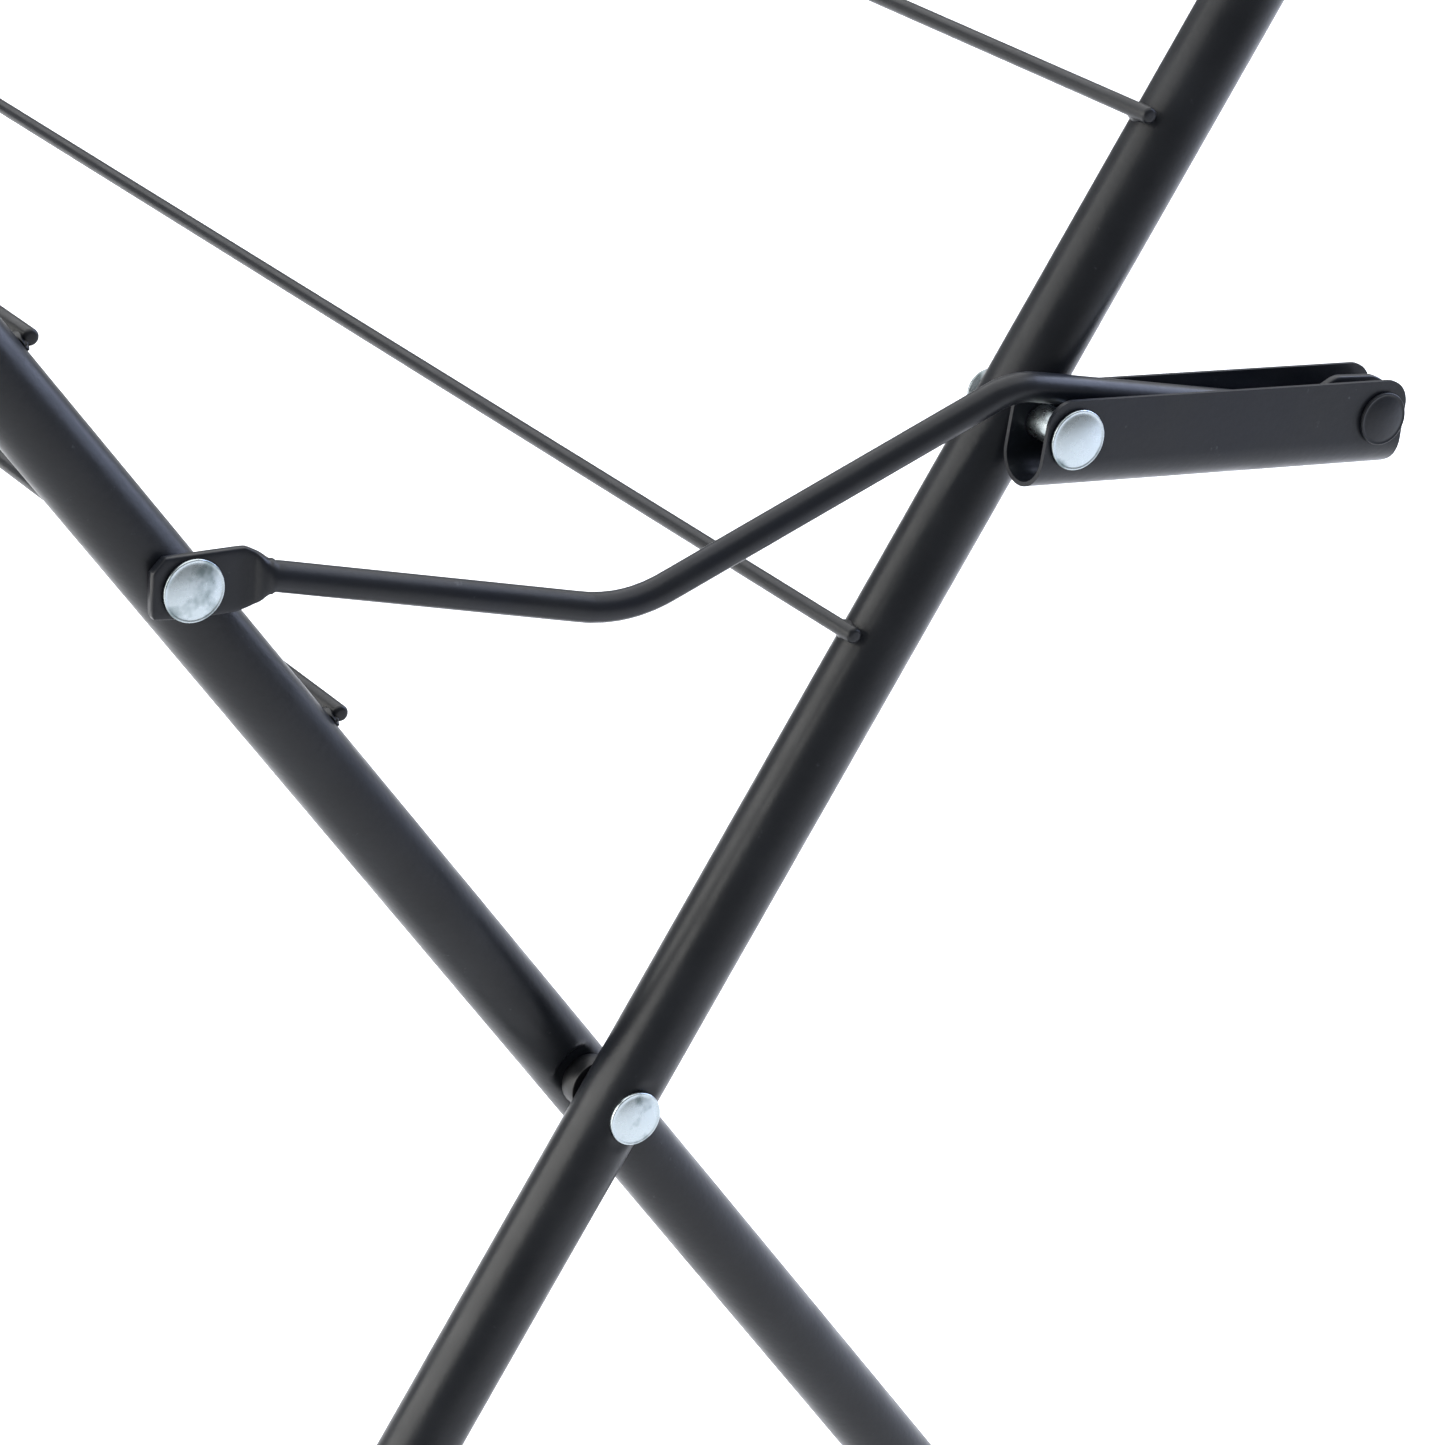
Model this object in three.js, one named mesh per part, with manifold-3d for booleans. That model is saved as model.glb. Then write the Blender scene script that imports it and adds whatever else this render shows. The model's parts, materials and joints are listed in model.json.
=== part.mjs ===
// Folding X-frame drying rack: two bent-tube frames cross like an X and turn on
// one rivet at each end. Straight wires join the arms of each frame, and at each end a
// bent stay and a U-channel link lock the frames open past dead centre.
//
// Millimetres, +Z up, wires along Y, the X of the legs seen along Y.
// The origin is on the floor, at the middle of the rack's box.

import * as THREE from 'three';
import { mergeVertices } from 'three/addons/utils/BufferGeometryUtils.js';
import Module from 'manifold-3d';

const wasm = await Module();
wasm.setup();

// ---- Driving dimensions -------------------------------------------------------------

// Frames
const RACK_LENGTH = 1200;        // along the wires, over the outer frame's tubes
const OUTER_LEAN_DEGREES = 35.25; // from upright to the outer frame
const INNER_LEAN_DEGREES = 34.15; // from upright to the inner frame
const OUTER_LEG_REACH = 520;     // pivot to where the outer legs' axis meets the floor
const OUTER_RAIL_REACH = 573;    // pivot to the axis of the outer frame's top rail
const INNER_RAIL_REACH = 527;    // pivot to the axis of the inner frame's top rail
const TUBE_D = 19;
const TUBE_WALL = 1.2;
const CORNER_R = 60;             // bend radius of a frame's top corners, on its axis
const FRAME_GAP = 3;             // between the two frames' tubes, side by side

// Wires
const WIRE_D = 4.2;
const WIRE_COUNT = 3;            // on each frame
const OUTER_FIRST_WIRE = 132;    // pivot to the first wire, along the arm
const INNER_FIRST_WIRE = 129;
const OUTER_WIRE_PROUD = 6.5;    // how far a wire's end passes the leg's axis
const INNER_WIRE_PROUD = 1.5;

// Feet
const FOOT_WALL = 1.8;
const FOOT_LENGTH = 34;
const FOOT_SOLE = 3;             // least plastic under the tube's cut end

// Pivot rivets and their spacers
const PIVOT_SHANK_D = 6.2;
const PIVOT_HEAD_D = 14.2;
const SPACER_D = 14;
const DIMPLE_DEPTH = 0.8;        // flat pressed in each tube where the spacer bears
const DIMPLE_CLEARANCE = 0.5;

// Lock: stay pivot on the inner frame, link pivot on the outer frame
const STAY_PIVOT_REACH = 191;
const STAY_PIVOT_ASIDE = 2;      // off the leg's axis, towards the other frame's arm
const LINK_PIVOT_REACH = 201;
const LOCK_SHANK_D = 6.2;
const LOCK_HEAD_D = 15.6;
const JOINT_HEAD_D = 14;          // the painted rivet at the link's toe
const LINK_CENTRES = 96;         // link pivot to stay's joint
const LINK_DROP = 8;             // degrees below level, from link pivot to stay's joint
const LINK_WIDTH = 16.5;         // over the two walls
const LINK_WALL = 1.2;
const LINK_ABOVE = 9.8;          // walls above the line of the two rivets
const LINK_BELOW = 14;           // round bottom below it
const LINK_HEEL = 9.4;           // channel past the link pivot, along its bottom
const LINK_HEEL_SLANT = 1;       // less than that along its top edges
const LINK_TOE = 7.5;            // channel past the stay's joint
const LINK_CORNER_R = 6.6;       // upper corners of the walls
const LINK_TOE_R = 3;            // small round corner under the toe
const SLEEVE_D = 9;              // sleeve on the link rivet, between the walls
const LINK_WASHER = 1.6;         // thickness, between channel and outer frame
const LINK_WASHER_D = 14;

// Stay
const STAY_D = 7.6;
const LUG_T = 2.8;               // flattened ends
const LUG_W = 16.4;              // at the inner frame
const EYE_D = 18;                // round end at the link, and the flat behind it
const EYE_SHOULDER = 12;         // joint to where that flat starts to taper
const EYE_NECK = 19;             // joint to the round bar
const EYE_TILT = 9.5;            // degrees below level
const LUG_END = 10;              // lug past the rivet
const LUG_CHAMFER = 3.2;         // its cut-off corners
const LUG_ROOT = 1;              // how far it runs into the round bar
const LUG_NECK = 21;             // rivet to where the round tube begins
const LUG_TILT = 4.4;            // degrees below level
const LUG_RISE = 0.9;            // its middle line above the rivet
const LOW_BEND_ALONG = 108.3;    // low bend, measured along the line of the stay's two pivots
const LOW_BEND_BELOW = 21.7;
const LOW_BEND_OUT = 3.4;        // outward from the outer leg's axis
const LOW_BEND_R = 42;
const REST_BEND_BACK = 12.4;     // upper bend, inboard of the link pivot that the stay rests on
const REST_BEND_IN = 1;          // towards the rack from the link's middle
const REST_BEND_RISE = 5.2;      // the bend's sharp corner above a bar laid on the sleeve
const REST_BEND_R = 18;

// Fits
const TOUCH = 0.3;               // between pieces that bear on each other
const HEAD_H = 2.2;
const HEAD_RIM = 0.45;           // upright rim of a head, under its dome
const RIM_BREAK = 0.2;           // broken edge under a head
const TAIL_D = 12.6;
const TAIL_H = 1.6;
const FLUSH_TAIL_H = 1.2;
const CUT_MARGIN = 1;            // how far a cutting shape runs past what it cuts
const MERGE_DISTANCE = 1e-4;

// Facets
const TUBE_SIDES = 20;
const RIVET_SIDES = 20;
const WIRE_SIDES = 10;
const STAY_SIDES = 12;
const BEND_STEPS = 8;
const DOME_STEPS = 4;
const CORNER_SEGMENTS = 6;
const CHANNEL_SEGMENTS = 8;

// ---- Sizes that follow --------------------------------------------------------------

const TUBE_R = TUBE_D / 2;
const WIRE_R = WIRE_D / 2;
const STAY_R = STAY_D / 2;
const OUTER_LEAN = THREE.MathUtils.degToRad(OUTER_LEAN_DEGREES);
const INNER_LEAN = THREE.MathUtils.degToRad(INNER_LEAN_DEGREES);
const OUTER_LEG_Y = RACK_LENGTH / 2 - TUBE_R;
const INNER_LEG_IN = TUBE_D + FRAME_GAP;
const INNER_LEG_Y = OUTER_LEG_Y - INNER_LEG_IN;
const PIVOT_HEIGHT = OUTER_LEG_REACH * Math.cos(OUTER_LEAN);
const INNER_LEG_REACH = PIVOT_HEIGHT / Math.cos(INNER_LEAN);
const FOOT_R = TUBE_R + TOUCH + FOOT_WALL;

// Widths on each side of the pivot, up to a top rail or a foot, whichever is further out.
const OUTER_SIDE = Math.max(
  OUTER_RAIL_REACH * Math.sin(OUTER_LEAN) + TUBE_R,
  INNER_LEG_REACH * Math.sin(INNER_LEAN) + FOOT_R / Math.cos(INNER_LEAN),
);
const INNER_SIDE = Math.max(
  INNER_RAIL_REACH * Math.sin(INNER_LEAN) + TUBE_R,
  OUTER_LEG_REACH * Math.sin(OUTER_LEAN) + FOOT_R / Math.cos(OUTER_LEAN),
);
const PIVOT_X = (INNER_SIDE - OUTER_SIDE) / 2;

// Outward distances at one end of the rack, from the outer leg's axis.
const LINK_IN = TUBE_R + LINK_WASHER + 2 * TOUCH;
const LINK_OUT = LINK_IN + LINK_WIDTH;
const LINK_MID = LINK_IN + LINK_WIDTH / 2;
const LUG_A_IN = -INNER_LEG_IN + TUBE_R + TOUCH;
const LUG_A_MID = LUG_A_IN + LUG_T / 2;
const STAY_A_OUT = LUG_A_IN + STAY_R;

// Pivots seen along Y, from the main pivot: x to the outer frame's side, z up.
const INNER_ARM = new THREE.Vector2(-Math.sin(INNER_LEAN), Math.cos(INNER_LEAN));
const INNER_ARM_FACING = new THREE.Vector2(INNER_ARM.y, -INNER_ARM.x);
const OUTER_ARM = new THREE.Vector2(Math.sin(OUTER_LEAN), Math.cos(OUTER_LEAN));
const STAY_PIVOT = INNER_ARM.clone().multiplyScalar(STAY_PIVOT_REACH)
  .addScaledVector(INNER_ARM_FACING, STAY_PIVOT_ASIDE);
const LINK_PIVOT = OUTER_ARM.clone().multiplyScalar(LINK_PIVOT_REACH);
const LINK_ANGLE = -THREE.MathUtils.degToRad(LINK_DROP);
const LINK_DIRECTION = new THREE.Vector2(Math.cos(LINK_ANGLE), Math.sin(LINK_ANGLE));
const STAY_JOINT = LINK_PIVOT.clone().addScaledVector(LINK_DIRECTION, LINK_CENTRES);

// ---- Materials ----------------------------------------------------------------------

function paintedSteel(name, colour) {
  return new THREE.MeshStandardMaterial({ name, color: colour, roughness: 0.5, metalness: 0.25 });
}

function zincPlate() {
  return new THREE.MeshStandardMaterial({ name: 'zinc', color: 0xc9d3d8, roughness: 0.32, metalness: 1 });
}

function mouldedPlastic() {
  return new THREE.MeshStandardMaterial({ name: 'plastic', color: 0x16171a, roughness: 0.6, metalness: 0 });
}

const FRAME_PAINT = paintedSteel('frame_paint', 0x24272d);
const LOCK_PAINT = paintedSteel('lock_paint', 0x262a31);
const ZINC = zincPlate();
const PLASTIC = mouldedPlastic();

// ---- Solids -------------------------------------------------------------------------

// Turns a closed geometry into a manifold solid, without its zero-area triangles.
function solidOf(geometry) {
  const bare = geometry.clone();
  bare.deleteAttribute('normal');
  bare.deleteAttribute('uv');
  const merged = mergeVertices(bare, MERGE_DISTANCE);
  const corners = [];
  for (let i = 0; i < merged.index.count; i += 3) {
    const [a, b, c] = [0, 1, 2].map((k) => merged.index.getX(i + k));
    if (a !== b && b !== c && c !== a) corners.push(a, b, c);
  }
  return new wasm.Manifold(new wasm.Mesh({
    numProp: 3,
    vertProperties: new Float32Array(merged.attributes.position.array),
    triVerts: new Uint32Array(corners),
  }));
}

function geometryOf(solid) {
  const mesh = solid.getMesh();
  const geometry = new THREE.BufferGeometry();
  geometry.setAttribute('position', new THREE.BufferAttribute(mesh.vertProperties, 3));
  geometry.setIndex(new THREE.BufferAttribute(mesh.triVerts, 1));
  geometry.computeVertexNormals();
  return geometry;
}

// A path given by stations, each a point and its tangent. Sections stand at the stations.
class StationPath extends THREE.Curve {
  constructor(stations) {
    super();
    this.stations = stations;
  }

  station(t) {
    return this.stations[Math.round(t * (this.stations.length - 1))];
  }

  getPoint(t, target = new THREE.Vector3()) {
    return target.copy(this.station(t).point);
  }

  getPointAt(t, target) {
    return this.getPoint(t, target);
  }

  getTangent(t, target = new THREE.Vector3()) {
    return target.copy(this.station(t).tangent);
  }

  getTangentAt(t, target) {
    return this.getTangent(t, target);
  }
}

// Stations along straight runs joined by round bends; radii[i] belongs to points[i].
function bentPath(points, radii) {
  const stations = [];
  const add = (point, tangent) => stations.push({ point, tangent });
  const last = points.length - 1;
  const runs = points.slice(1).map((p, i) => p.clone().sub(points[i]).normalize());
  add(points[0].clone(), runs[0]);
  for (let i = 1; i < last; i += 1) {
    const [from, to] = [runs[i - 1], runs[i]];
    const turn = from.angleTo(to);
    const axis = from.clone().cross(to).normalize();
    const start = points[i].clone().addScaledVector(from, -radii[i] * Math.tan(turn / 2));
    const centre = start.clone().addScaledVector(axis.clone().cross(from), radii[i]);
    for (let k = 0; k <= BEND_STEPS; k += 1) {
      const angle = (turn * k) / BEND_STEPS;
      const spoke = start.clone().sub(centre).applyAxisAngle(axis, angle);
      add(centre.clone().add(spoke), from.clone().applyAxisAngle(axis, angle));
    }
  }
  add(points[last].clone(), runs[last - 1]);
  return new StationPath(stations);
}

function circleShape(radius, bore = 0) {
  const shape = new THREE.Shape();
  shape.absarc(0, 0, radius, 0, 2 * Math.PI, false);
  if (bore > 0) {
    const hole = new THREE.Path();
    hole.absarc(0, 0, bore, 0, 2 * Math.PI, true);
    shape.holes.push(hole);
  }
  return shape;
}

function sweep(shape, path, sides) {
  return new THREE.ExtrudeGeometry(shape, {
    steps: path.stations.length - 1,
    curveSegments: sides / 2,
    extrudePath: path,
  });
}

// A round bar along Y between two places, for pins, holes and washers.
function barAlongY(radius, fromY, toY, x = 0, z = 0, sides = RIVET_SIDES) {
  const bar = new THREE.CylinderGeometry(radius, radius, Math.abs(toY - fromY), sides);
  bar.translate(x, (fromY + toY) / 2, z);
  return bar;
}

// A flat plate with its outline in XZ and its thickness along Y, from y0 to y1.
function plateAcrossY(shape, y0, y1) {
  const options = { depth: Math.abs(y1 - y0), bevelEnabled: false, curveSegments: CORNER_SEGMENTS };
  const plate = new THREE.ExtrudeGeometry(shape, options);
  plate.rotateX(Math.PI / 2);
  plate.translate(0, Math.max(y0, y1), 0);
  return plate;
}

// A rivet turned about Y: a low domed head outward, a shank, and a tail head inward.
// All places are outward distances; side is -1 at the front end and +1 at the back.
function rivet(side, legY, headD, shankD, seat, tailSeat, tailH) {
  const profile = tailProfile(shankD, tailSeat, tailH);
  profile.push(new THREE.Vector2(shankD / 2, seat));
  profile.push(new THREE.Vector2(headD / 2 - RIM_BREAK, seat));
  for (let k = DOME_STEPS; k >= 0; k -= 1) {
    const angle = (k / DOME_STEPS) * (Math.PI / 2);
    const rise = HEAD_RIM + (HEAD_H - HEAD_RIM) * Math.cos(angle);
    profile.push(new THREE.Vector2((headD / 2) * Math.sin(angle), seat + rise));
  }
  return turnedOnLeg(profile, side, legY);
}

// From the axis out to the shank: a spread tail head, or a plain end if tailH is 0.
function tailProfile(shankD, tailSeat, tailH) {
  if (tailH === 0) {
    return [new THREE.Vector2(0, tailSeat), new THREE.Vector2(shankD / 2, tailSeat)];
  }
  const flatR = TAIL_D / 3;
  return [
    new THREE.Vector2(0, tailSeat - tailH),
    new THREE.Vector2(flatR, tailSeat - tailH),
    new THREE.Vector2(TAIL_D / 2, tailSeat - tailH / 3),
    new THREE.Vector2(TAIL_D / 2 - RIM_BREAK, tailSeat),
    new THREE.Vector2(shankD / 2, tailSeat),
  ];
}

// Places a lathe profile (radius, outward distance) on the leg at one end of the rack.
function turnedOnLeg(profile, side, legY) {
  const turned = new THREE.LatheGeometry(profile, RIVET_SIDES);
  if (side < 0) turned.rotateX(Math.PI);
  turned.translate(0, side * legY, 0);
  return turned;
}

function named(name, geometry, material) {
  const mesh = new THREE.Mesh(geometry, material);
  mesh.name = name;
  return mesh;
}

const SIDES = [
  { side: -1, end: 'front' },
  { side: 1, end: 'back' },
];

// ---- Frames -------------------------------------------------------------------------
// Each frame is drawn upright in the YZ plane, with the main pivot at its origin.

// Where a leg's tube is cut square, so that its lowest edge keeps the foot's sole under it.
function tubeEnd(legReach, lean) {
  return legReach - TUBE_R * Math.tan(Math.abs(lean)) - FOOT_SOLE;
}

function frameTube(legY, legReach, lean, railReach, lockAt, dimpleSide) {
  const legEnd = tubeEnd(legReach, lean);
  const path = bentPath(
    [
      new THREE.Vector3(0, -legY, -legEnd),
      new THREE.Vector3(0, -legY, railReach),
      new THREE.Vector3(0, legY, railReach),
      new THREE.Vector3(0, legY, -legEnd),
    ],
    [0, CORNER_R, CORNER_R, 0],
  );
  let tube = solidOf(sweep(circleShape(TUBE_R, TUBE_R - TUBE_WALL), path, TUBE_SIDES));
  const reach = TUBE_R + CUT_MARGIN;
  for (const { side } of SIDES) {
    const y = side * legY;
    const pivotHole = barAlongY(PIVOT_SHANK_D / 2 + TOUCH, y - reach, y + reach);
    const lockHole = barAlongY(LOCK_SHANK_D / 2 + TOUCH, y - reach, y + reach, lockAt.x, lockAt.y);
    const dimpleFrom = y + side * dimpleSide * (TUBE_R - DIMPLE_DEPTH);
    const dimple = barAlongY(SPACER_D / 2 + DIMPLE_CLEARANCE, dimpleFrom, y + side * dimpleSide * reach);
    tube = tube.subtract(solidOf(pivotHole)).subtract(solidOf(lockHole)).subtract(solidOf(dimple));
  }
  return geometryOf(tube);
}

// A plastic cap over the end of a leg, cut level by a block that stands for the ground.
function foot(legY, legReach, lean, side) {
  const legEnd = tubeEnd(legReach, lean);
  const below = legReach + FOOT_R * Math.tan(Math.abs(lean)) + CUT_MARGIN;
  const top = legReach - FOOT_LENGTH;
  const sleeve = new THREE.CylinderGeometry(FOOT_R, FOOT_R, below - top, TUBE_SIDES);
  sleeve.rotateX(Math.PI / 2);
  sleeve.translate(0, side * legY, -(below + top) / 2);
  const socketDepth = legEnd + TOUCH - top;
  const socket = new THREE.CylinderGeometry(TUBE_R + TOUCH, TUBE_R + TOUCH, 2 * socketDepth, TUBE_SIDES);
  socket.rotateX(Math.PI / 2);
  socket.translate(0, side * legY, -top);
  const ground = new THREE.BoxGeometry(4 * FOOT_LENGTH, 4 * FOOT_LENGTH, 2 * FOOT_LENGTH);
  ground.translate(0, side * legY, -FOOT_LENGTH);
  ground.rotateY(-lean);
  ground.translate(0, 0, -legReach);
  return geometryOf(solidOf(sleeve).subtract(solidOf(socket)).subtract(solidOf(ground)));
}

// A wire welded to the arms on the side that faces the other frame's arms.
function wire(legY, proud, facing, reach) {
  const x = facing * (TUBE_R + WIRE_R + TOUCH);
  return barAlongY(WIRE_R, -legY - proud, legY + proud, x, reach, WIRE_SIDES);
}

function buildFrame(name, shape) {
  const { legY, legReach, lean, railReach, firstWire, wireProud, lockAt, dimpleSide } = shape;
  const frame = new THREE.Group();
  const tube = frameTube(legY, legReach, lean, railReach, lockAt, dimpleSide);
  frame.add(named(`${name}_frame_tube`, tube, FRAME_PAINT));
  for (const { side, end } of SIDES) {
    frame.add(named(`${name}_foot_${end}`, foot(legY, legReach, lean, side), PLASTIC));
  }
  const pitch = (railReach - firstWire) / WIRE_COUNT;
  for (let i = 0; i < WIRE_COUNT; i += 1) {
    const bar = wire(legY, wireProud, -Math.sign(lean), firstWire + i * pitch);
    frame.add(named(`${name}_wire_${i + 1}`, bar, FRAME_PAINT));
  }
  frame.rotation.y = lean;
  return frame;
}

// ---- Main pivot ---------------------------------------------------------------------

function pivotRivet(side) {
  const seat = TUBE_R + TOUCH;
  const tailSeat = -INNER_LEG_IN - TUBE_R - TOUCH;
  return rivet(side, OUTER_LEG_Y, PIVOT_HEAD_D, PIVOT_SHANK_D, seat, tailSeat, TAIL_H);
}

function pivotSpacer(side) {
  const from = side * (OUTER_LEG_Y - TUBE_R + DIMPLE_DEPTH - TOUCH);
  const to = side * (INNER_LEG_Y + TUBE_R - DIMPLE_DEPTH + TOUCH);
  const disc = barAlongY(SPACER_D / 2, from, to);
  const margin = side * CUT_MARGIN;
  const bore = barAlongY(PIVOT_SHANK_D / 2 + TOUCH, from + margin, to - margin);
  return geometryOf(solidOf(disc).subtract(solidOf(bore)));
}

// ---- Lock link ----------------------------------------------------------------------
// Drawn with the link pivot at the origin and the stay's joint on +X.

// A U of sheet steel with a half-round bottom, in its own plane: x across, y up.
function linkSection() {
  const half = LINK_WIDTH / 2;
  const inner = half - LINK_WALL;
  const springing = half - LINK_BELOW;
  const section = new THREE.Shape();
  section.moveTo(-half, LINK_ABOVE);
  section.lineTo(-half, springing);
  section.absarc(0, springing, half, Math.PI, 2 * Math.PI, false);
  section.lineTo(half, LINK_ABOVE);
  section.lineTo(inner, LINK_ABOVE);
  section.lineTo(inner, springing);
  section.absarc(0, springing, inner, 2 * Math.PI, Math.PI, true);
  section.lineTo(-inner, LINK_ABOVE);
  section.closePath();
  return section;
}

// The side view of the link: upper corners rounded, heel cut back towards the top.
function linkOutline() {
  const r = LINK_CORNER_R;
  const heelTop = LINK_HEEL_SLANT - LINK_HEEL;
  const right = LINK_CENTRES + LINK_TOE;
  const outline = new THREE.Shape();
  outline.moveTo(-LINK_HEEL, -LINK_BELOW - CUT_MARGIN);
  outline.lineTo(right - LINK_TOE_R, -LINK_BELOW - CUT_MARGIN);
  outline.absarc(right - LINK_TOE_R, -LINK_BELOW + LINK_TOE_R, LINK_TOE_R, -Math.PI / 2, 0, false);
  outline.lineTo(right, LINK_ABOVE - r);
  outline.absarc(right - r, LINK_ABOVE - r, r, 0, Math.PI / 2, false);
  outline.lineTo(heelTop + r, LINK_ABOVE);
  outline.absarc(heelTop + r, LINK_ABOVE - r, r, Math.PI / 2, Math.PI, false);
  outline.closePath();
  return outline;
}

function link(side) {
  const depth = LINK_CENTRES + LINK_HEEL + LINK_TOE + 2 * CUT_MARGIN;
  const options = { depth, bevelEnabled: false, curveSegments: CHANNEL_SEGMENTS };
  const channel = new THREE.ExtrudeGeometry(linkSection(), options);
  channel.rotateX(Math.PI / 2);
  channel.rotateZ(Math.PI / 2);
  channel.translate(-LINK_HEEL - CUT_MARGIN, 0, 0);
  let body = solidOf(channel).intersect(solidOf(plateAcrossY(linkOutline(), -LINK_WIDTH, LINK_WIDTH)));
  for (const x of [0, LINK_CENTRES]) {
    body = body.subtract(solidOf(barAlongY(LOCK_SHANK_D / 2 + TOUCH, -LINK_WIDTH, LINK_WIDTH, x, 0)));
  }
  const geometry = geometryOf(body);
  geometry.translate(0, side * (OUTER_LEG_Y + LINK_MID), 0);
  return geometry;
}

function linkWasher(side) {
  const from = side * (OUTER_LEG_Y + TUBE_R + TOUCH);
  const to = from + side * LINK_WASHER;
  const margin = side * CUT_MARGIN;
  const bore = barAlongY(LOCK_SHANK_D / 2 + TOUCH, from - margin, to + margin);
  return geometryOf(solidOf(barAlongY(LINK_WASHER_D / 2, from, to)).subtract(solidOf(bore)));
}

// A tube round the rivet that keeps the walls apart; the open stay lies over it.
function linkSleeve(side) {
  const from = side * (OUTER_LEG_Y + LINK_IN + LINK_WALL + TOUCH);
  const to = side * (OUTER_LEG_Y + LINK_OUT - LINK_WALL - TOUCH);
  const margin = side * CUT_MARGIN;
  const bore = barAlongY(LOCK_SHANK_D / 2 + TOUCH, from - margin, to + margin);
  return geometryOf(solidOf(barAlongY(SLEEVE_D / 2, from, to)).subtract(solidOf(bore)));
}

function linkRivet(side) {
  const seat = LINK_OUT + TOUCH;
  return rivet(side, OUTER_LEG_Y, LOCK_HEAD_D, LOCK_SHANK_D, seat, -TUBE_R - TOUCH, TAIL_H);
}

function jointRivet(side) {
  const seat = LINK_OUT + TOUCH;
  return rivet(side, OUTER_LEG_Y, JOINT_HEAD_D, LOCK_SHANK_D, seat, LINK_IN - TOUCH, FLUSH_TAIL_H);
}

// ---- Stay ---------------------------------------------------------------------------
// Drawn where it lies, seen from the main pivot.

function stayPath(side) {
  const along = STAY_JOINT.clone().sub(STAY_PIVOT).normalize();
  const below = new THREE.Vector2(along.y, -along.x);
  const low = STAY_PIVOT.clone()
    .addScaledVector(along, LOW_BEND_ALONG)
    .addScaledVector(below, LOW_BEND_BELOW);
  const tilt = -THREE.MathUtils.degToRad(LUG_TILT);
  const neck = new THREE.Vector2(LUG_NECK, LUG_RISE)
    .rotateAround(new THREE.Vector2(), tilt)
    .add(STAY_PIVOT);
  const restHeight = SLEEVE_D / 2 + STAY_R + REST_BEND_RISE;
  const rest = LINK_PIVOT.clone().add(new THREE.Vector2(-REST_BEND_BACK, restHeight));
  const back = new THREE.Vector2(EYE_SHOULDER, 0)
    .rotateAround(new THREE.Vector2(), -THREE.MathUtils.degToRad(EYE_TILT));
  const end = STAY_JOINT.clone().sub(back);
  const place = (point, out) => new THREE.Vector3(point.x, side * (OUTER_LEG_Y + out), point.y);
  const points = [
    place(neck, STAY_A_OUT),
    place(low, LOW_BEND_OUT),
    place(rest, LINK_MID - REST_BEND_IN),
    place(end, LINK_MID),
  ];
  return bentPath(points, [0, LOW_BEND_R, REST_BEND_R, 0]);
}

// The flattened end at the inner frame: cut-off corners outside, tapering to the tube.
function innerLug(side) {
  const half = LUG_W / 2;
  const outline = new THREE.Shape();
  outline.moveTo(-LUG_END + LUG_CHAMFER, -half);
  outline.lineTo(LUG_NECK - half, -half);
  outline.lineTo(LUG_NECK + LUG_ROOT, -STAY_R);
  outline.lineTo(LUG_NECK + LUG_ROOT, STAY_R);
  outline.lineTo(LUG_NECK - half, half);
  outline.lineTo(-LUG_END + LUG_CHAMFER, half);
  outline.lineTo(-LUG_END, half - LUG_CHAMFER);
  outline.lineTo(-LUG_END, -half + LUG_CHAMFER);
  outline.closePath();
  const y = side * (OUTER_LEG_Y + LUG_A_IN);
  const lug = plateAcrossY(outline, y, y + side * LUG_T);
  lug.translate(0, 0, LUG_RISE);
  lug.rotateY(THREE.MathUtils.degToRad(LUG_TILT));
  lug.translate(STAY_PIVOT.x, 0, STAY_PIVOT.y);
  return lug;
}

// The flattened end inside the link: round past the joint's rivet, tapering to the bar.
function jointLug(side) {
  const half = EYE_D / 2;
  const outline = new THREE.Shape();
  outline.moveTo(-EYE_NECK, -STAY_R);
  outline.lineTo(-EYE_SHOULDER, -half);
  outline.lineTo(0, -half);
  outline.absarc(0, 0, half, -Math.PI / 2, Math.PI / 2, false);
  outline.lineTo(-EYE_SHOULDER, half);
  outline.lineTo(-EYE_NECK, STAY_R);
  outline.closePath();
  const y = side * (OUTER_LEG_Y + LINK_MID);
  const lug = plateAcrossY(outline, y - LUG_T / 2, y + LUG_T / 2);
  lug.rotateY(THREE.MathUtils.degToRad(EYE_TILT));
  lug.translate(STAY_JOINT.x, 0, STAY_JOINT.y);
  return lug;
}

function stay(side) {
  const bar = solidOf(sweep(circleShape(STAY_R), stayPath(side), STAY_SIDES));
  let body = bar.add(solidOf(innerLug(side))).add(solidOf(jointLug(side)));
  for (const [pivot, out] of [[STAY_PIVOT, LUG_A_MID], [STAY_JOINT, LINK_MID]]) {
    const y = side * (OUTER_LEG_Y + out);
    const hole = barAlongY(LOCK_SHANK_D / 2 + TOUCH, y - LUG_W, y + LUG_W, pivot.x, pivot.y);
    body = body.subtract(solidOf(hole));
  }
  return geometryOf(body);
}

// The stay's rivet turns with the stay: its head and the part of its shank in the lug.
function stayRivetHead(side) {
  const seat = LUG_A_IN + LUG_T + TOUCH;
  return rivet(side, OUTER_LEG_Y, LOCK_HEAD_D, LOCK_SHANK_D, seat, LUG_A_IN, 0);
}

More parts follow.
